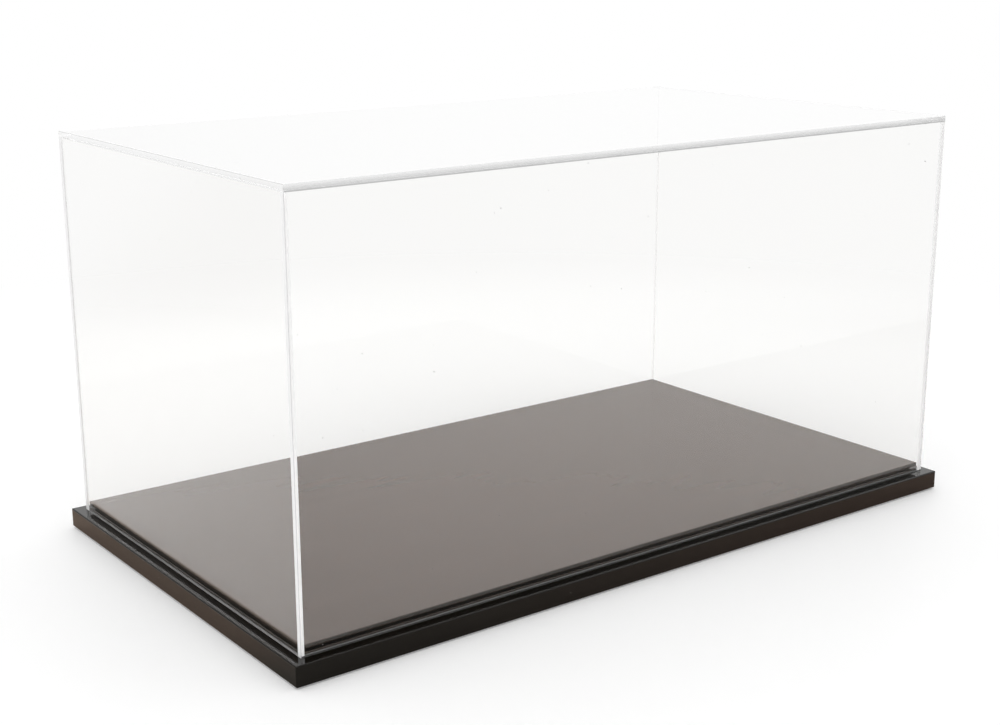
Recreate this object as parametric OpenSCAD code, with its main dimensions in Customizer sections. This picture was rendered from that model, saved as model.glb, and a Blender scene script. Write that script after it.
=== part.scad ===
// Display case for scale models: a clear five-sided cover that lifts off a lacquered plinth.
// The cover stands on a ledge around a raised display board.
// Origin: centre of the footprint, on the surface that the foot pads stand on. +Z up, +X to the right, +Y to the back.

/* [Clear cover] */
// Outside length of the cover, left to right
cover_length = 490; // [340:1:700]
// Outside depth of the cover, front to back
cover_depth = 276; // [200:1:420]
// Height of the cover, from the ledge it stands on to its top
cover_height = 243; // [100:1:420]
// Thickness of the clear sheet
sheet_thick = 3; // [2:0.5:6]
// Width of the small flat polished along the cover's outer edges
sheet_arris = 0.3; // [0.1:0.05:0.6]

/* [Plinth board] */
// Thickness of the plinth board
plinth_thick = 12; // [9:1:25]
// Width of the ledge that shows around the cover
ledge_width = 7; // [3:0.5:20]
// Rounding along the plinth board's edges
plinth_round = 0.8; // [0.4:0.1:2]

/* [Display board] */
// Thickness of the display board, the raised floor inside the cover
display_thick = 6; // [5.5:0.5:12]
// Gap between the display board and the inside of the cover
cover_gap = 0.4; // [0.3:0.1:2]
// Height of the lip that overhangs the groove around the board
lip_height = 2.4; // [1.6:0.1:3]
// Rounding along the lip's top edge
lip_round = 0.4; // [0.3:0.1:1.2]
// Height of the bead that is left below the groove
bead_height = 1.7; // [0.8:0.1:2]
// Rounding along the bead's top edge
bead_round = 0.7; // [0.2:0.1:0.7]
// How deep the groove is cut in
groove_depth = 3; // [1.5:0.25:6]

/* [Board screws] */
// Outside diameter of the screws' thread
screw_diameter = 3.5; // [3:0.5:4]
// Diameter of the countersunk heads
screw_head = 7; // [6:0.5:8]
// Height of the straight rim around each head
screw_rim = 0.4; // [0.2:0.1:0.8]
// How far the screws bite into the display board
screw_bite = 4; // [3:0.25:4.5]
// How far the heads sit below the underside of the plinth board
head_sink = 0.5; // [0.2:0.1:1.5]
// Length of the pointed tip
screw_point = 1.5; // [1:0.25:2.5]
// Gap between each screw and its hole
screw_gap = 0.05; // [0.02:0.01:0.2]
// Distance from the display board's edges to the outermost screws
screw_inset = 45; // [30:1:60]
// Number of screws in each of the two rows
screws_per_row = 3; // [2:1:5]
// Width of each slot of the cross recess
recess_width = 1; // [0.6:0.1:1.4]
// Length of each slot of the cross recess
recess_length = 4; // [3:0.25:5]
// Depth of the cross recess
recess_depth = 1.4; // [0.8:0.1:1.8]

/* [Foot pads] */
// Diameter of each foot pad
pad_diameter = 20; // [10:1:24]
// Thickness of each foot pad
pad_thick = 1; // [0.5:0.25:4]
// Distance from the plinth board's edges to the centre of each pad
pad_inset = 20; // [14:1:24]

/* [Hidden] */

dark_lacquer = [0.13, 0.10, 0.09];
brown_lacquer = [0.22, 0.18, 0.16];
clear = [0.92, 0.95, 0.97, 0.25];
zinc = [0.72, 0.73, 0.74];
felt = [0.09, 0.09, 0.10];

// true circles, and a small allowance that lets a cut run past a face
$fn = 64;
past = 1;

// heights above the surface that the case stands on
plinth_bottom = pad_thick;
ledge_top = plinth_bottom + plinth_thick;
wall_top = ledge_top + cover_height - sheet_thick;

plinth_length = cover_length + 2 * ledge_width;
plinth_depth = cover_depth + 2 * ledge_width;

// what is left inside the walls, and the display board that fills it but for the gap
inside_length = cover_length - 2 * sheet_thick;
inside_depth = cover_depth - 2 * sheet_thick;
display_length = inside_length - 2 * cover_gap;
display_depth = inside_depth - 2 * cover_gap;

wall_height = cover_height - sheet_thick;

// a countersunk head tapers at 45 degrees down to the thread
screw_taper = (screw_head - screw_diameter) / 2;
screw_bottom = plinth_bottom + head_sink;
screw_length = ledge_top + screw_bite - screw_bottom;
screw_row_x = display_length / 2 - screw_inset;
screw_row_y = display_depth / 2 - screw_inset;
screw_pitch = 2 * screw_row_x / (screws_per_row - 1);

pad_x = plinth_length / 2 - pad_inset;
pad_y = plinth_depth / 2 - pad_inset;

// rectangle with its lower left corner at the origin and all four corners rounded
module rounded_rectangle(width, height, round) {
    translate([round, 0])
        square([width - 2 * round, height]);
    translate([0, round])
        square([width, height - 2 * round]);
    for (x = [round, width - round], y = [round, height - round])
        translate([x, y])
            circle(r = round);
}

// rectangle with its lower left corner at the origin, its top corners rounded and its bottom ones square
module arched_strip(width, height, round) {
    square([width, height - round]);
    translate([round, 0])
        square([width - 2 * round, height]);
    for (x = [round, width - round])
        translate([x, height - round])
            circle(r = round);
}

// runs a section, drawn across the depth and up, along the length of a board
module along_length(length, depth)
    translate([-length / 2, -depth / 2, 0])
        rotate([90, 0, 90])
            linear_extrude(height = length)
                children();

// runs a section, drawn across the length and up, along the depth of a board
module along_depth(length, depth)
    translate([-length / 2, depth / 2, 0])
        rotate([90, 0, 0])
            linear_extrude(height = depth)
                children();

// board with every edge rounded, standing on the origin
module rounded_board(length, depth, thick, round)
    intersection() {
        translate([-length / 2, -depth / 2, 0])
            linear_extrude(height = thick)
                rounded_rectangle(length, depth, round);
        along_length(length, depth)
            rounded_rectangle(depth, thick, round);
        along_depth(length, depth)
            rounded_rectangle(length, thick, round);
    }

// section across the display board: bead, neck behind the groove, and lip
module display_section(width) {
    arched_strip(width, bead_height, bead_round);
    translate([groove_depth, 0])
        square([width - 2 * groove_depth, display_thick]);
    translate([0, display_thick - lip_height])
        arched_strip(width, lip_height, lip_round);
}

// turned shape with a countersunk head at its foot, from bottom to full_end and then tapering to tip_end
module countersunk_turning(grow, bottom, full_end, tip_end)
    rotate_extrude()
        polygon([
            [0, bottom],
            [screw_head / 2 + grow, bottom],
            [screw_head / 2 + grow, screw_rim],
            [screw_diameter / 2 + grow, screw_rim + screw_taper],
            [screw_diameter / 2 + grow, full_end],
            [0, tip_end]
        ]);

// one screw, standing on its head
module countersunk_screw()
    difference() {
        countersunk_turning(0, 0, screw_length - screw_point, screw_length);
        for (turn = [0, 90])
            rotate([0, 0, turn])
                translate([-recess_length / 2, -recess_width / 2, -past])
                    cube([recess_length, recess_width, recess_depth + past]);
    }

// space for one screw, open through the underside of the plinth board
module screw_space()
    countersunk_turning(screw_gap, -head_sink - past, screw_length + screw_gap, screw_length + screw_gap);

module at_each_screw()
    for (i = [0 : screws_per_row - 1], side = [-1, 1])
        translate([i * screw_pitch - screw_row_x, side * screw_row_y, screw_bottom])
            children();

module plinth_board()
    color(dark_lacquer)
        difference() {
            translate([0, 0, plinth_bottom])
                rounded_board(plinth_length, plinth_depth, plinth_thick, plinth_round);
            at_each_screw()
                screw_space();
        }

module display_board()
    color(brown_lacquer)
        difference() {
            translate([0, 0, ledge_top])
                intersection() {
                    along_length(display_length, display_depth)
                        display_section(display_depth);
                    along_depth(display_length, display_depth)
                        display_section(display_length);
                }
            at_each_screw()
                screw_space();
        }

module board_screws()
    color(zinc)
        at_each_screw()
            countersunk_screw();

module foot_pad(side_x, side_y)
    color(felt)
        translate([side_x * pad_x, side_y * pad_y, 0])
            cylinder(d = pad_diameter, h = pad_thick);

// plan of the front wall: as long as the cover, with its two outer corners taken off
module front_wall_plan()
    polygon([
        [-cover_length / 2 + sheet_arris, -cover_depth / 2],
        [cover_length / 2 - sheet_arris, -cover_depth / 2],
        [cover_length / 2, -cover_depth / 2 + sheet_arris],
        [cover_length / 2, -inside_depth / 2],
        [-cover_length / 2, -inside_depth / 2],
        [-cover_length / 2, -cover_depth / 2 + sheet_arris]
    ]);

// turn: 0 for the front wall, 180 for the back wall
module long_wall(turn)
    color(clear)
        translate([0, 0, ledge_top])
            rotate([0, 0, turn])
                linear_extrude(height = wall_height)
                    front_wall_plan();

// side: -1 for the left wall, 1 for the right wall; it fits between the front and back walls
module end_wall(side)
    color(clear)
        translate([side * (inside_length + sheet_thick) / 2, 0, ledge_top + wall_height / 2])
            cube([sheet_thick, inside_depth, wall_height], center = true);

// section across the top panel, with the small flats along both edges of its top face
module top_section(width)
    polygon([
        [0, 0],
        [width, 0],
        [width, sheet_thick - sheet_arris],
        [width - sheet_arris, sheet_thick],
        [sheet_arris, sheet_thick],
        [0, sheet_thick - sheet_arris]
    ]);

module front_panel()
    long_wall(0);

module back_panel()
    long_wall(180);

module left_panel()
    end_wall(-1);

module right_panel()
    end_wall(1);

module top_panel()
    color(clear)
        translate([0, 0, wall_top])
            intersection() {
                along_length(cover_length, cover_depth)
                    top_section(cover_depth);
                along_depth(cover_length, cover_depth)
                    top_section(cover_length);
            }

plinth_board();
display_board();
board_screws();
foot_pad(-1, -1);  // foot_pad_front_left
foot_pad(1, -1);  // foot_pad_front_right
foot_pad(-1, 1);  // foot_pad_back_left
foot_pad(1, 1);  // foot_pad_back_right
front_panel();
back_panel();
left_panel();
right_panel();
top_panel();
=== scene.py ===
import math

import bmesh
import bpy
from mathutils import Matrix, Vector


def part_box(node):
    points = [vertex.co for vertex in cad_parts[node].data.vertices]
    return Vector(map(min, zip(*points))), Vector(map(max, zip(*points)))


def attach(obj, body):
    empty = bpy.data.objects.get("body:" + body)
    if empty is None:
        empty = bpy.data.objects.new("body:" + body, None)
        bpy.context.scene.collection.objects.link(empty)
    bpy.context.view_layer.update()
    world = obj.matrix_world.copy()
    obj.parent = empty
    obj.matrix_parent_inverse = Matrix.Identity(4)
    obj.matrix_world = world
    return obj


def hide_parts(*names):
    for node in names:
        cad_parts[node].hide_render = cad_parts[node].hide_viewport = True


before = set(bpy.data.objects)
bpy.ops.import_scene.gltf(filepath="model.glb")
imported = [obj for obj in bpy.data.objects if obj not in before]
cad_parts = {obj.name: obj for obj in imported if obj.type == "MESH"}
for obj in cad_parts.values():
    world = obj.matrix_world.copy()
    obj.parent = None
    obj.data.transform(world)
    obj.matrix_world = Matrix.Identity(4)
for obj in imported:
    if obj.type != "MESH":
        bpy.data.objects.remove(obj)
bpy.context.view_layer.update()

# ---- sizes, in metres ----

# the clear sheets: their thickness, the small flat on their outer edges, and the hair's gap between them
SHEET = 0.003
ARRIS = 0.0003
HAIR_GAP = 0.00004

# heights of the pale strip along the walls' inner foot, painted light for the bright band that light
# carried down the sheets makes there, and of the cement seam under the top sheet
PALE_FOOT_STRIP = 0.0008
SEAM = 0.0009

# heights on the display board's edge, and half the width over which its painted light and shade change
# there
BEAD_HEIGHT = 0.0017
LIP_HEIGHT = 0.0024
SOFT_LINE = 0.0001

# the outside and inside of the cover, taken from its top sheet, and the levels of the ledge and the board
TOP_LOW = Vector(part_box("top_panel")[0])
TOP_HIGH = Vector(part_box("top_panel")[1])
INSIDE_X = TOP_HIGH.x - SHEET
INSIDE_Y = TOP_HIGH.y - SHEET
LEDGE_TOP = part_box("front_panel")[0][2]
BOARD_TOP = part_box("display_board")[1][2]

# how closely a face or edge has to point a way: straight, or at least slanting
STRAIGHT = 0.9
SLANTING = 0.5

# ---- looks of the case ----

# middle parts of a noise's range, which a pattern spreads over all of its own
SOFT = (0.3, 0.7)
CRISP = (0.35, 0.65)

# clear acrylic: its tint and gloss, and the shade of what shows through it
ACRYLIC_IOR = 1.49
WALL_COLOUR = (0.976, 0.975, 0.970)
TOP_COLOUR = (0.995, 0.996, 0.996)
ACRYLIC_GLOSS = (0.3, 0.3, 0.3)
PANE_SHADE = 0.97

# light caught inside a sheet is let out when it has bounced more often than this
WALL_BOUNCES = 1.5
TOP_BOUNCES = 0.5

# waves in the sheets, and marks left by wiping
WAVE_SCALE = 7.0
WAVE_DEPTH = 0.0004
WIPE_SCALE = 30.0
WIPE_STRETCH = (4.0, 4.0, 1.0)
WIPE_BAND = (0.62, 0.8)
WIPE_ROUGHNESS = 0.02

# specks of dust: how far apart, how big and how pale
SHEET_DUST = (0.016, 0.0003, 0.3)
BOARD_DUST = (0.012, 0.00022, 0.4)
DUST_ROUGHNESS = 0.9

# haze on the top sheet's edges, and the share of it that is left at their upper end
RIM_COLOUR = 0.5
RIM_ROUGHNESS = 0.6
RIM_HAZE = 0.6
SIDE_HAZE = 0.16
HAZE_LEFT = 0.35

# joints and cut edges: how pale, how clear, and how much painted glow they give, an emission that stands in
# for the light the sheets carry to them; the joints' milky paleness is partly real cement and partly
# painted light for that carried light
JOINT_COLOUR = 0.95
JOINT_CLEAR = 0.1
JOINT_GLOW = 0.31
# the pale foot strip is frosted, and pale as painted light for the bright band at the sheets' foot
PALE_FOOT_COLOUR = 0.5
PALE_FOOT_CLEAR = 0.3
# the long sheets' sawn feet are painted darker than the end sheets' same sawn edge, as painted shade
SHADED_LONG_SAWN_COLOUR = 0.12
END_SAWN_COLOUR = 0.55
SEAM_COLOUR = 0.55
SEAM_CLEAR = 0.1
THIN_SEAM_CLEAR = 0.9
DULLED_COLOUR = 0.7
DULLED_CLEAR = 0.2
FLAMED_COLOUR = 0.93
FLAMED_GLOW = 0.08
HAZED_END_COLOUR = 0.8
HAZED_END_CLEAR = 0.5
HAZED_END_GLOW = 0.1

# joints are painted a little greyer towards the front right and back left, as painted shade on those
# corners, and turn clearer towards the back right
SIDE_SHADE = 0.95
SIDE_SHADE_OVER = (0.15, 0.3)
BACK_CLEAR = 0.75
BACK_CLEARS_OVER = (0.25, 0.35)

# bubbles in the cement
BUBBLE_SCALE = 300.0
BUBBLE_DEPTH = 0.000002
BUBBLE_SHADE = 0.97
BUBBLE_ROUGHNESS = (0.5, 0.7)

# lacquered boards; the display board's colours by height are painted light and shade: its top is paler,
# partly its own colour and partly painted reflection, its lip is darker and its groove black as painted
# shade, and its bead is paler as a painted highlight
PLINTH_COLOUR = (0.0045, 0.0035, 0.0025)
BOARD_TONE_AND_REFLECTION = (0.100, 0.068, 0.053)
LIP_SHADE = (0.034, 0.025, 0.019)
GROOVE_SHADE = (0.001, 0.001, 0.001)
BEAD_HIGHLIGHT = (0.060, 0.048, 0.038)
LACQUER_IOR = 1.5
LACQUER_ROUGHNESS = 0.08
WORN_SMOOTHER = 0.85
WORN_ROUGHER = 1.15
WEAR_SCALE = 25.0
GRAIN_STRETCH = (8.0, 90.0, 90.0)
GRAIN_SHADES = (0.97, 1.03)
PEEL_SCALE = 250.0
PEEL_DEPTH = 0.000001

# felt pads
FELT_DARK = 0.008
FELT_PALE = 0.03
FIBRE_SCALE = 1500.0
FIBRE_DEPTH = 0.0002
TUFT_SCALE = 260.0
FELT_ROUGHNESS = (0.85, 1.0)
FELT_SHEEN = 0.3
FELT_SHEEN_ROUGHNESS = 0.5

# zinc-plated screws
ZINC_BLUE = (0.50, 0.52, 0.56)
ZINC_YELLOW = (0.66, 0.64, 0.58)
ZINC_ROUGHNESS = (0.25, 0.4)
BLOTCH_SCALE = 220.0
SCRATCH_STRETCH = (3000.0, 3000.0, 300.0)
SCRATCH_DEPTH = 0.00001

# ---- the studio ----

# white paper floor: it turns pure white away from the case
FLOOR_SIZE = 12.0
FLOOR_COLOUR = 0.92
FLOOR_ROUGHNESS = 0.5
FLOOR_IOR = 1.3
FLOOR_LIFT = 0.18
FLOOR_WHITENS_OVER = (0.45, 0.9)

# tones of the floor that glossy surfaces mirror, and how far left or forward of the middle each comes in: a
# painted shadow beside the case's left side and painted shade in front, where the paper is as white as
# elsewhere
LEFTWARD = (-1.0, 0.0, 0.0)
FORWARD = (0.0, -1.0, 0.0)
NEAR_SIDE_SHADOW_TONE = (0.70, 0.54, 0.44)
NEAR_SIDE_OVER = (0.2, 0.25)
SIDE_FLOOR = (0.95, 0.92, 0.88)
SIDE_OVER = (0.264, 0.272)
NEAR_FRONT_SHADE_TONE = (0.62, 0.46, 0.38)
NEAR_FRONT_OVER = (0.05, 0.15)
FRONT_SHADE_TONE = (0.33, 0.31, 0.28)
FRONT_OVER = (0.168, 0.174)
FRONT_DARKENS_OVER = (-0.25, 0.25)

# the room that glossy surfaces mirror beyond the paper, darker on the side where its walls are near
TOWARDS_ROOM = (-0.85, -0.53, 0.0)
ROOM_FLOOR = (0.62, 0.58, 0.55)
ROOM_FLOOR_OVER = (-0.1, 0.2)
PAPER_ENDS_OVER = (0.75, 0.9)
ROOM_WALLS = (-0.85, -0.45, 0.35)
ROOM_FAR = (1.0, 1.0, 1.0)
ROOM_NEAR = (0.26, 0.24, 0.22)
ROOM_WALLS_OVER = (-0.35, 0.2)
DOME_LEVEL = 0.95

# one large softbox overhead
SOFTBOX_WATTS = 1.5
SOFTBOX_SIZE = 0.9
SOFTBOX_SPOT = (-0.2, 0.2, 1.5)
SOFTBOX_AIM = Vector((0.0, 0.0, 0.1))

# camera: place in metres, lens in millimetres, and turns in degrees
CAMERA_SPOT = (-0.6053, -0.7887, 0.3658)
CAMERA_LENS = 56.688
CAMERA_SENSOR = 36.0
CAMERA_REACH = 50.0
CAMERA_YAW = 36.840
CAMERA_PITCH = 14.949
CAMERA_ROLL = -0.142


# ---- node helpers ----

def new_tree(made):
    """turns on the nodes of a material or world, and empties them"""
    made.use_nodes = True
    made.node_tree.nodes.clear()
    return made.node_tree


def put(tree, kind, inputs=None, **settings):
    """adds a node; an input is either a value or another node's output"""
    node = tree.nodes.new("ShaderNode" + kind)
    for name, value in settings.items():
        setattr(node, name, value)
    for name, value in (inputs or {}).items():
        if isinstance(value, bpy.types.NodeSocket):
            tree.links.new(value, node.inputs[name])
        else:
            node.inputs[name].default_value = value
    return node


def colour(rgb):
    return (*rgb, 1.0)


def grey(level):
    return (level, level, level, 1.0)


def place(tree, stretch=(1.0, 1.0, 1.0)):
    """the piece's own coordinates, in metres, stretched for a pattern"""
    where = put(tree, "TexCoord")
    return put(tree, "Mapping", {"Vector": where.outputs["Object"], "Scale": stretch}).outputs[0]


def height(tree, vector):
    return put(tree, "SeparateXYZ", {0: vector}).outputs["Z"]


def along(tree, vector, direction):
    return put(tree, "VectorMath", {0: vector, 1: direction}, operation="DOT_PRODUCT").outputs["Value"]


def noise(tree, vector, scale, detail):
    return put(tree, "TexNoise", {"Vector": vector, "Scale": scale, "Detail": detail}).outputs["Fac"]


def calculated(tree, operation, *values):
    return put(tree, "Math", dict(enumerate(values)), operation=operation).outputs[0]


def ranged(tree, value, old, new):
    """carries a value from its old range to a new one, with soft ends"""
    ends = {"Value": value, "From Min": old[0], "From Max": old[1], "To Min": new[0], "To Max": new[1]}
    return put(tree, "MapRange", ends, interpolation_type="SMOOTHSTEP").outputs["Result"]


def share(tree, value, old):
    """0 below the old range, 1 above it, and a soft rise between"""
    return ranged(tree, value, old, (0.0, 1.0))


def blend_colours(tree, factor, first, second):
    return put(tree, "Mix", {0: factor, 6: first, 7: second}, data_type="RGBA").outputs[2]


def blend_shaders(tree, factor, first, second):
    return put(tree, "MixShader", {0: factor, 1: first, 2: second}).outputs[0]


def bump(tree, pattern, depth):
    return put(tree, "Bump", {"Height": pattern, "Distance": depth, "Strength": 1.0}).outputs[0]


def in_view(tree, path):
    """1 for what is seen, also through the clear sheets, and 0 for what is mirrored or only gives light"""
    return calculated(tree, "MAXIMUM", path.outputs["Is Camera Ray"], path.outputs["Is Transmission Ray"])


# ---- materials ----

def specks(tree, vector, spacing, radius):
    """1 on rare specks of dust where the surface passes close by a cell's centre"""
    cells = put(tree, "TexVoronoi", {"Vector": vector, "Scale": 1.0 / spacing})
    return calculated(tree, "LESS_THAN", cells.outputs["Distance"], radius / spacing)


def clear_acrylic(name, tint, bounces, haze=None):
    """polished clear sheet: faintly wavy, wiped and dusty, and, where haze is given, greyer towards the
    sheet's bottom than its top
    """
    made = bpy.data.materials.new(name)
    tree = new_tree(made)
    here = place(tree)
    waves = noise(tree, here, WAVE_SCALE, 1.0)
    wipes = noise(tree, place(tree, WIPE_STRETCH), WIPE_SCALE, 3.0)
    sheet = put(tree, "BsdfPrincipled", {
        "Base Color": colour(tint),
        "Roughness": ranged(tree, wipes, WIPE_BAND, (0.0, WIPE_ROUGHNESS)),
        "IOR": ACRYLIC_IOR,
        "Transmission Weight": 1.0,
        "Specular Tint": colour(ACRYLIC_GLOSS),
        "Normal": bump(tree, waves, WAVE_DEPTH),
    })
    spacing, radius, paleness = SHEET_DUST
    dust = put(tree, "BsdfPrincipled", {"Base Color": grey(paleness), "Roughness": DUST_ROUGHNESS})
    dusty = blend_shaders(tree, specks(tree, here, spacing, radius), sheet.outputs[0], dust.outputs[0])
    through = put(tree, "BsdfTransparent", {"Color": grey(PANE_SHADE)})
    path = put(tree, "LightPath")
    trapped = calculated(tree, "GREATER_THAN", path.outputs["Glossy Depth"], bounces)
    seen = blend_shaders(tree, trapped, dusty, through.outputs[0])
    if haze:
        # grey haze that is strongest at the sheet's bottom and fades towards its top
        crept = ranged(tree, height(tree, here), (TOP_LOW.z, TOP_HIGH.z), (haze, haze * HAZE_LEFT))
        frost = put(tree, "BsdfPrincipled", {
            "Base Color": grey(RIM_COLOUR),
            "Roughness": RIM_ROUGHNESS,
            "IOR": 1.0,
        })
        seen = blend_shaders(tree, crept, seen, frost.outputs[0])
    lit = blend_shaders(tree, path.outputs["Is Shadow Ray"], seen, through.outputs[0])
    put(tree, "OutputMaterial", {"Surface": lit})
    return made


def milky_edge(name, level, clearness, glow=0.0):
    """a joint or a cut edge, where the sheet turns light back; its glow is painted light"""
    made = bpy.data.materials.new(name)
    tree = new_tree(made)
    here = place(tree)
    bubbles = noise(tree, here, BUBBLE_SCALE, 1.0)
    tone = blend_colours(tree, share(tree, bubbles, CRISP), grey(level * BUBBLE_SHADE), grey(level))
    # painted shade: the joints' tone greys towards the front right and back left corners
    sideways = calculated(tree, "ABSOLUTE", along(tree, here, (1.0, -1.0, 0.0)))
    tone = blend_colours(tree, share(tree, sideways, SIDE_SHADE_OVER), tone, grey(level * SIDE_SHADE))
    frost = put(tree, "BsdfPrincipled", {
        "Base Color": tone,
        "Roughness": ranged(tree, bubbles, SOFT, BUBBLE_ROUGHNESS),
        "IOR": 1.0,
        # painted glow: emission standing in for light carried along the sheets to their edges
        "Emission Color": tone,
        "Emission Strength": glow,
        "Normal": bump(tree, bubbles, BUBBLE_DEPTH),
    })
    gap = put(tree, "BsdfTransparent")
    backward = along(tree, here, (1.0, 1.0, 0.0))
    clear_share = ranged(tree, backward, BACK_CLEARS_OVER, (clearness, BACK_CLEAR))
    edge = blend_shaders(tree, clear_share, frost.outputs[0], gap.outputs[0])
    put(tree, "OutputMaterial", {"Surface": edge})
    return made


def lacquer(name, bands):
    """lacquered wood: a faint grain under an orange-peel gloss, in bands of colour listed from below, which
    on the display board are painted light and shade
    """
    made = bpy.data.materials.new(name)
    tree = new_tree(made)
    here = place(tree)
    level = height(tree, here)
    base = colour(bands[0][1])
    for start, tone in bands[1:]:
        above = share(tree, level, (start - SOFT_LINE, start + SOFT_LINE))
        base = blend_colours(tree, above, base, colour(tone))
    grain = noise(tree, place(tree, GRAIN_STRETCH), 1.0, 2.0)
    grained = put(tree, "HueSaturation", {"Value": ranged(tree, grain, SOFT, GRAIN_SHADES), "Color": base})
    spacing, radius, paleness = BOARD_DUST
    dust = specks(tree, here, spacing, radius)
    peel = noise(tree, here, PEEL_SCALE, 1.0)
    wear = noise(tree, here, WEAR_SCALE, 4.0)
    worn = (LACQUER_ROUGHNESS * WORN_SMOOTHER, LACQUER_ROUGHNESS * WORN_ROUGHER)
    skin = put(tree, "BsdfPrincipled", {
        "Base Color": blend_colours(tree, dust, grained.outputs[0], grey(paleness)),
        "Roughness": ranged(tree, wear, CRISP, worn),
        "IOR": LACQUER_IOR,
        "Normal": bump(tree, peel, PEEL_DEPTH),
    })
    put(tree, "OutputMaterial", {"Surface": skin.outputs[0]})
    return made


def felt():
    made = bpy.data.materials.new("felt_pad")
    tree = new_tree(made)
    here = place(tree)
    fibres = noise(tree, here, FIBRE_SCALE, 6.0)
    tufts = noise(tree, here, TUFT_SCALE, 3.0)
    tone = blend_colours(tree, share(tree, fibres, SOFT), grey(FELT_DARK), grey(FELT_PALE))
    nap = put(tree, "BsdfPrincipled", {
        "Base Color": tone,
        "Roughness": ranged(tree, tufts, SOFT, FELT_ROUGHNESS),
        "Sheen Weight": FELT_SHEEN,
        "Sheen Roughness": FELT_SHEEN_ROUGHNESS,
        "Normal": bump(tree, fibres, FIBRE_DEPTH),
    })
    put(tree, "OutputMaterial", {"Surface": nap.outputs[0]})
    return made


def zinc():
    made = bpy.data.materials.new("zinc_screw")
    tree = new_tree(made)
    blotches = noise(tree, place(tree), BLOTCH_SCALE, 3.0)
    scratches = noise(tree, place(tree, SCRATCH_STRETCH), 1.0, 3.0)
    tone = blend_colours(tree, share(tree, blotches, SOFT), colour(ZINC_BLUE), colour(ZINC_YELLOW))
    plate = put(tree, "BsdfPrincipled", {
        "Base Color": tone,
        "Metallic": 1.0,
        "Roughness": ranged(tree, blotches, SOFT, ZINC_ROUGHNESS),
        "Normal": bump(tree, scratches, SCRATCH_DEPTH),
    })
    put(tree, "OutputMaterial", {"Surface": plate.outputs[0]})
    return made


def dress(node, finish):
    """puts a finish on a node that keeps its shape"""
    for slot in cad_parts[node].material_slots:
        slot.material = finish


# ---- clear sheets ----

def cut(position, normal):
    """cuts a line round a sheet, so that the strip beyond it can have a finish of its own"""
    bpy.ops.mesh.select_all(action="SELECT")
    bpy.ops.mesh.bisect(plane_co=position, plane_no=normal)


def polish_edges(sheet, is_outer):
    """takes the small flat off the edges that is_outer picks, given an edge's middle and direction"""
    bpy.ops.mesh.select_mode(type="EDGE")
    bpy.ops.mesh.select_all(action="DESELECT")
    shape = bmesh.from_edit_mesh(sheet.data)
    for edge in shape.edges:
        first, second = (corner.co for corner in edge.verts)
        edge.select_set(is_outer((first + second) / 2, (second - first).normalized()))
    bmesh.update_edit_mesh(sheet.data)
    bpy.ops.mesh.bevel(offset=ARRIS, segments=1, affect="EDGES")


def make_sheet(node, finishes, is_outer, cuts, finish_of, trim=(0, 0, 0)):
    """one sheet of the cover: a block, trimmed where it meets others, with polished edges and its joints"""
    low = Vector(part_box(node)[0]) + Vector(trim)
    high = Vector(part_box(node)[1]) - Vector(trim)
    bpy.ops.object.select_all(action="DESELECT")
    bpy.ops.mesh.primitive_cube_add(size=1.0, location=(low + high) / 2, scale=high - low)
    sheet = bpy.context.object
    sheet.name = node.replace("panel", "sheet")
    bpy.ops.object.transform_apply(location=True, rotation=True, scale=True)
    bpy.ops.object.mode_set(mode="EDIT")
    if is_outer:
        polish_edges(sheet, is_outer)
    for position, normal in cuts:
        cut(position, normal)
    bpy.ops.mesh.select_all(action="SELECT")
    bpy.ops.mesh.normals_make_consistent(inside=False)
    bpy.ops.object.mode_set(mode="OBJECT")
    for finish in finishes.values():
        sheet.data.materials.append(finish)
    names = list(finishes)
    for face in sheet.data.polygons:
        face.material_index = names.index(finish_of(face.center, face.normal))
    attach(sheet, "cover")
    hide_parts(node)


def wall_finish(middle, normal, inward):
    """a wall's face: its top end is cemented, its foot is sawn and the foot of its inner side is a pale
    strip of painted light
    """
    if abs(normal.z) > STRAIGHT:
        return "cemented" if normal.z > 0.0 else "sawn"
    if normal.dot(inward) > STRAIGHT and middle.z < LEDGE_TOP + PALE_FOOT_STRIP:
        return "pale_foot"
    return "clear"


def under_top(middle, normal, inward):
    """whether a wall's face is the outer strip where cement has crept down from under the top sheet"""
    return normal.dot(inward) < -STRAIGHT and middle.z > TOP_LOW.z - SEAM


def level_cuts():
    return [((0, 0, z), (0, 0, 1)) for z in (LEDGE_TOP + PALE_FOOT_STRIP, TOP_LOW.z - SEAM)]


def upright_cuts():
    return [((x, 0, 0), (1, 0, 0)) for x in (-INSIDE_X, INSIDE_X)]


def make_long_sheet(node, side):
    """front (side -1) or back (side 1) sheet, which covers the ends of the left and right sheets"""
    inward = Vector((0, -side, 0))

    def is_outer(middle, direction):
        return abs(direction.z) > STRAIGHT and middle.y * side > INSIDE_Y + SHEET / 2

    def finish_of(middle, normal):
        if normal.dot(inward) > STRAIGHT and abs(middle.x) > INSIDE_X:
            return "cemented"
        if side < 0 and under_top(middle, normal, inward):
            return "seam"
        if normal.x < -SLANTING:
            return "flamed" if normal.x < -STRAIGHT else "dulled"
        return wall_finish(middle, normal, inward)

    make_sheet(node, LONG_FINISHES, is_outer, upright_cuts() + level_cuts(), finish_of, (0, 0, HAIR_GAP))


def make_end_sheet(node, side):
    """left (side -1) or right (side 1) sheet, between the long ones"""
    inward = Vector((-side, 0, 0))

    def finish_of(middle, normal):
        if abs(normal.y) > STRAIGHT:
            return "cemented"
        if under_top(middle, normal, inward):
            return "seam"
        return wall_finish(middle, normal, inward)

    make_sheet(node, END_FINISHES, None, level_cuts(), finish_of, (0, HAIR_GAP, HAIR_GAP))


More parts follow.
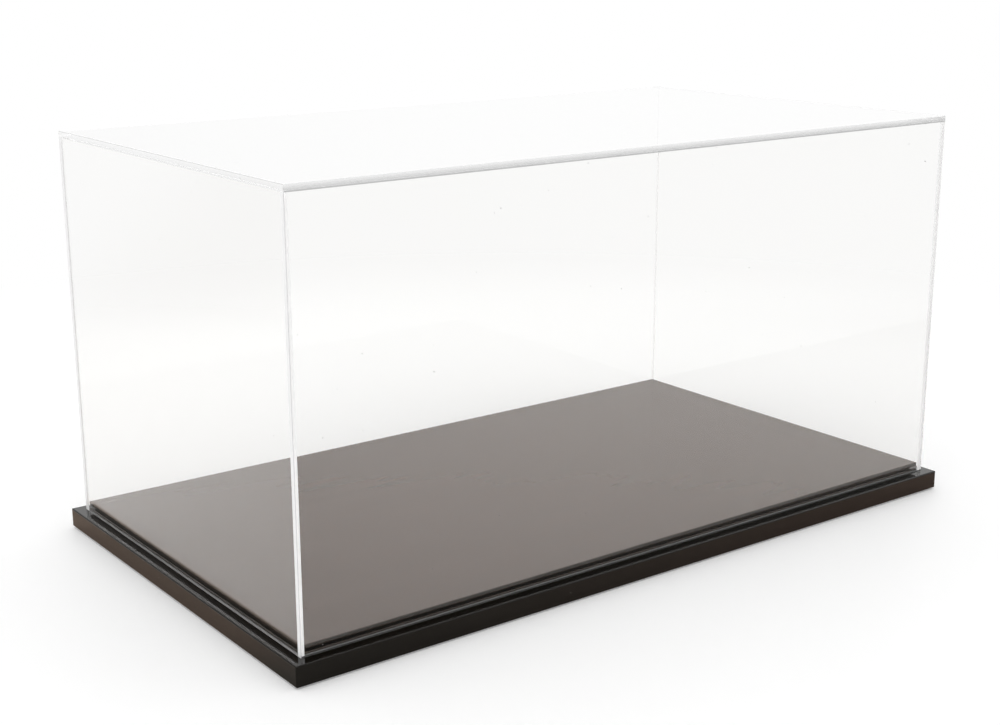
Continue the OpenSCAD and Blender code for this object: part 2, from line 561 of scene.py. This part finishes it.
def make_top_sheet():
    """top sheet, which covers the walls' top ends"""
    def is_outer(middle, direction):
        return middle.z > TOP_LOW.z + SHEET / 2 or abs(direction.z) > STRAIGHT

    def finish_of(middle, normal):
        over_wall = abs(middle.x) > INSIDE_X or abs(middle.y) > INSIDE_Y
        if normal.z < -STRAIGHT and over_wall:
            return "cemented"
        if normal.y < -SLANTING:
            return "front rim"
        if normal.x > STRAIGHT:
            return "right end"
        if normal.x < -SLANTING:
            return "dulled" if normal.z > SLANTING else "left rim"
        return "clear"

    cuts = upright_cuts() + [((0, y, 0), (0, 1, 0)) for y in (-INSIDE_Y, INSIDE_Y)]
    make_sheet("top_panel", TOP_FINISHES, is_outer, cuts, finish_of)


CEMENTED = milky_edge("cemented_edge", JOINT_COLOUR, JOINT_CLEAR, JOINT_GLOW)
DULLED = milky_edge("dulled_edge", DULLED_COLOUR, DULLED_CLEAR)
WALL_FINISHES = {
    "clear": clear_acrylic("clear_acrylic", WALL_COLOUR, WALL_BOUNCES),
    "cemented": CEMENTED,
    "pale_foot": milky_edge("pale_foot_edge", PALE_FOOT_COLOUR, PALE_FOOT_CLEAR),
}
LONG_FINISHES = WALL_FINISHES | {
    # painted shade: this sawn foot is darker than the end sheets'
    "sawn": milky_edge("shaded_sawn_edge", SHADED_LONG_SAWN_COLOUR, 0.0),
    "seam": milky_edge("crept_cement", SEAM_COLOUR, SEAM_CLEAR),
    "dulled": DULLED,
    "flamed": milky_edge("flamed_edge", FLAMED_COLOUR, DULLED_CLEAR, FLAMED_GLOW),
}
END_FINISHES = WALL_FINISHES | {
    "sawn": milky_edge("sawn_edge", END_SAWN_COLOUR, 0.0),
    "seam": milky_edge("thin_cement", SEAM_COLOUR, THIN_SEAM_CLEAR),
}
TOP_FINISHES = {
    "clear": clear_acrylic("clear_acrylic_top", TOP_COLOUR, TOP_BOUNCES),
    "cemented": CEMENTED,
    "front rim": clear_acrylic("hazed_rim", TOP_COLOUR, TOP_BOUNCES, RIM_HAZE),
    "dulled": DULLED,
    "right end": milky_edge("hazed_end", HAZED_END_COLOUR, HAZED_END_CLEAR, HAZED_END_GLOW),
    "left rim": clear_acrylic("hazed_side", TOP_COLOUR, TOP_BOUNCES, SIDE_HAZE),
}
make_long_sheet("front_panel", -1)
make_long_sheet("back_panel", 1)
make_end_sheet("left_panel", -1)
make_end_sheet("right_panel", 1)
make_top_sheet()

# ---- plinth ----

dress("plinth_board", lacquer("plinth_lacquer", [(0.0, PLINTH_COLOUR)]))
# the display board's bands: painted highlight on the bead, painted shade in the groove and on the lip,
# painted reflection on the paler top
dress("display_board", lacquer("board_lacquer", [
    (LEDGE_TOP, BEAD_HIGHLIGHT),
    (LEDGE_TOP + BEAD_HEIGHT, GROOVE_SHADE),
    (BOARD_TOP - LIP_HEIGHT, LIP_SHADE),
    (BOARD_TOP - SOFT_LINE * 2, BOARD_TONE_AND_REFLECTION),
]))
dress("board_screws", zinc())
pad_felt = felt()
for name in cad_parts:
    if name.startswith("foot_pad"):
        dress(name, pad_felt)


# ---- studio ----

def mirrored_floor(tree, where):
    """colour of the paper where glossy surfaces mirror it, with a painted shadow beside the case's left
    side and painted shade towards the front
    """
    leftward = along(tree, where, LEFTWARD)
    forward = along(tree, where, FORWARD)
    outer = share(tree, leftward, SIDE_OVER)
    # painted shadow beside the case's left side, and painted shade in front below
    side = blend_colours(tree, outer, colour(NEAR_SIDE_SHADOW_TONE), colour(SIDE_FLOOR))
    tone = blend_colours(tree, share(tree, leftward, NEAR_SIDE_OVER), grey(FLOOR_COLOUR), side)
    darker = share(tree, leftward, FRONT_DARKENS_OVER)
    near_front = blend_colours(tree, darker, colour(NEAR_FRONT_SHADE_TONE), colour(FRONT_SHADE_TONE))
    front = blend_colours(tree, share(tree, forward, FRONT_OVER), near_front, colour(FRONT_SHADE_TONE))
    return blend_colours(tree, share(tree, forward, NEAR_FRONT_OVER), tone, front)


def floor_finish():
    made = bpy.data.materials.new("white_floor")
    tree = new_tree(made)
    where = put(tree, "TexCoord").outputs["Object"]
    distance = put(tree, "VectorMath", {0: where}, operation="LENGTH").outputs["Value"]
    path = put(tree, "LightPath")
    paper = put(tree, "BsdfPrincipled", {
        "Base Color": grey(FLOOR_COLOUR),
        "Roughness": FLOOR_ROUGHNESS,
        "IOR": FLOOR_IOR,
    })
    lift = put(tree, "Emission", {"Strength": FLOOR_LIFT})
    lifted = put(tree, "AddShader", {0: paper.outputs[0], 1: lift.outputs[0]})
    white = put(tree, "Emission", {"Strength": 1.0})
    whiteness = share(tree, distance, FLOOR_WHITENS_OVER)
    seen = blend_shaders(tree, whiteness, lifted.outputs[0], white.outputs[0])
    toned = put(tree, "BsdfDiffuse", {"Color": mirrored_floor(tree, where)})
    nearness = share(tree, along(tree, where, TOWARDS_ROOM), ROOM_FLOOR_OVER)
    room_tone = blend_colours(tree, nearness, grey(1.0), colour(ROOM_FLOOR))
    room = put(tree, "Emission", {"Color": room_tone})
    met = blend_shaders(tree, share(tree, distance, PAPER_ENDS_OVER), toned.outputs[0], room.outputs[0])
    lit = blend_shaders(tree, path.outputs["Is Glossy Ray"], paper.outputs[0], met)
    put(tree, "OutputMaterial", {"Surface": blend_shaders(tree, in_view(tree, path), lit, seen)})
    return made


def white_room():
    world = bpy.data.worlds.new("white_room")
    tree = new_tree(world)
    path = put(tree, "LightPath")
    way = put(tree, "TexCoord").outputs["Generated"]
    nearness = share(tree, along(tree, way, ROOM_WALLS), ROOM_WALLS_OVER)
    room = blend_colours(tree, nearness, colour(ROOM_FAR), colour(ROOM_NEAR))
    met = blend_colours(tree, path.outputs["Is Glossy Ray"], grey(DOME_LEVEL), room)
    tone = blend_colours(tree, in_view(tree, path), met, grey(1.0))
    sky = put(tree, "Background", {"Color": tone, "Strength": 1.0})
    put(tree, "OutputWorld", {"Surface": sky.outputs[0]})
    return world


def look_from(camera, spot, lens, yaw, pitch, roll):
    """stands a camera at spot, turned by yaw from the back, tipped down by pitch and rolled"""
    ahead = Vector((math.sin(yaw) * math.cos(pitch), math.cos(yaw) * math.cos(pitch), -math.sin(pitch)))
    level = Vector((math.cos(yaw), -math.sin(yaw), 0.0))
    above = level.cross(ahead)
    right = math.cos(roll) * level + math.sin(roll) * above
    up = math.cos(roll) * above - math.sin(roll) * level
    turned = Matrix((right, up, -ahead)).transposed().to_4x4()
    turned.translation = spot
    camera.matrix_world = turned
    camera.data.lens = lens
    camera.data.sensor_width = CAMERA_SENSOR
    camera.data.clip_end = CAMERA_REACH


bpy.ops.object.select_all(action="DESELECT")
bpy.ops.mesh.primitive_plane_add(size=FLOOR_SIZE, location=(0.0, 0.0, 0.0))
floor = bpy.context.object
floor.name = "floor"
floor.data.materials.append(floor_finish())

bpy.context.scene.world = white_room()

softbox = bpy.data.objects.new("softbox", bpy.data.lights.new("softbox", "AREA"))
softbox.data.size = SOFTBOX_SIZE
softbox.data.energy = SOFTBOX_WATTS
softbox.location = SOFTBOX_SPOT
softbox.rotation_euler = (SOFTBOX_AIM - softbox.location).to_track_quat("-Z", "Y").to_euler()
bpy.context.scene.collection.objects.link(softbox)

camera = bpy.data.objects.new("camera", bpy.data.cameras.new("camera"))
bpy.context.scene.collection.objects.link(camera)
turns = [math.radians(angle) for angle in (CAMERA_YAW, CAMERA_PITCH, CAMERA_ROLL)]
look_from(camera, CAMERA_SPOT, CAMERA_LENS, *turns)
bpy.context.scene.camera = camera
bpy.context.scene.view_settings.view_transform = "Standard"
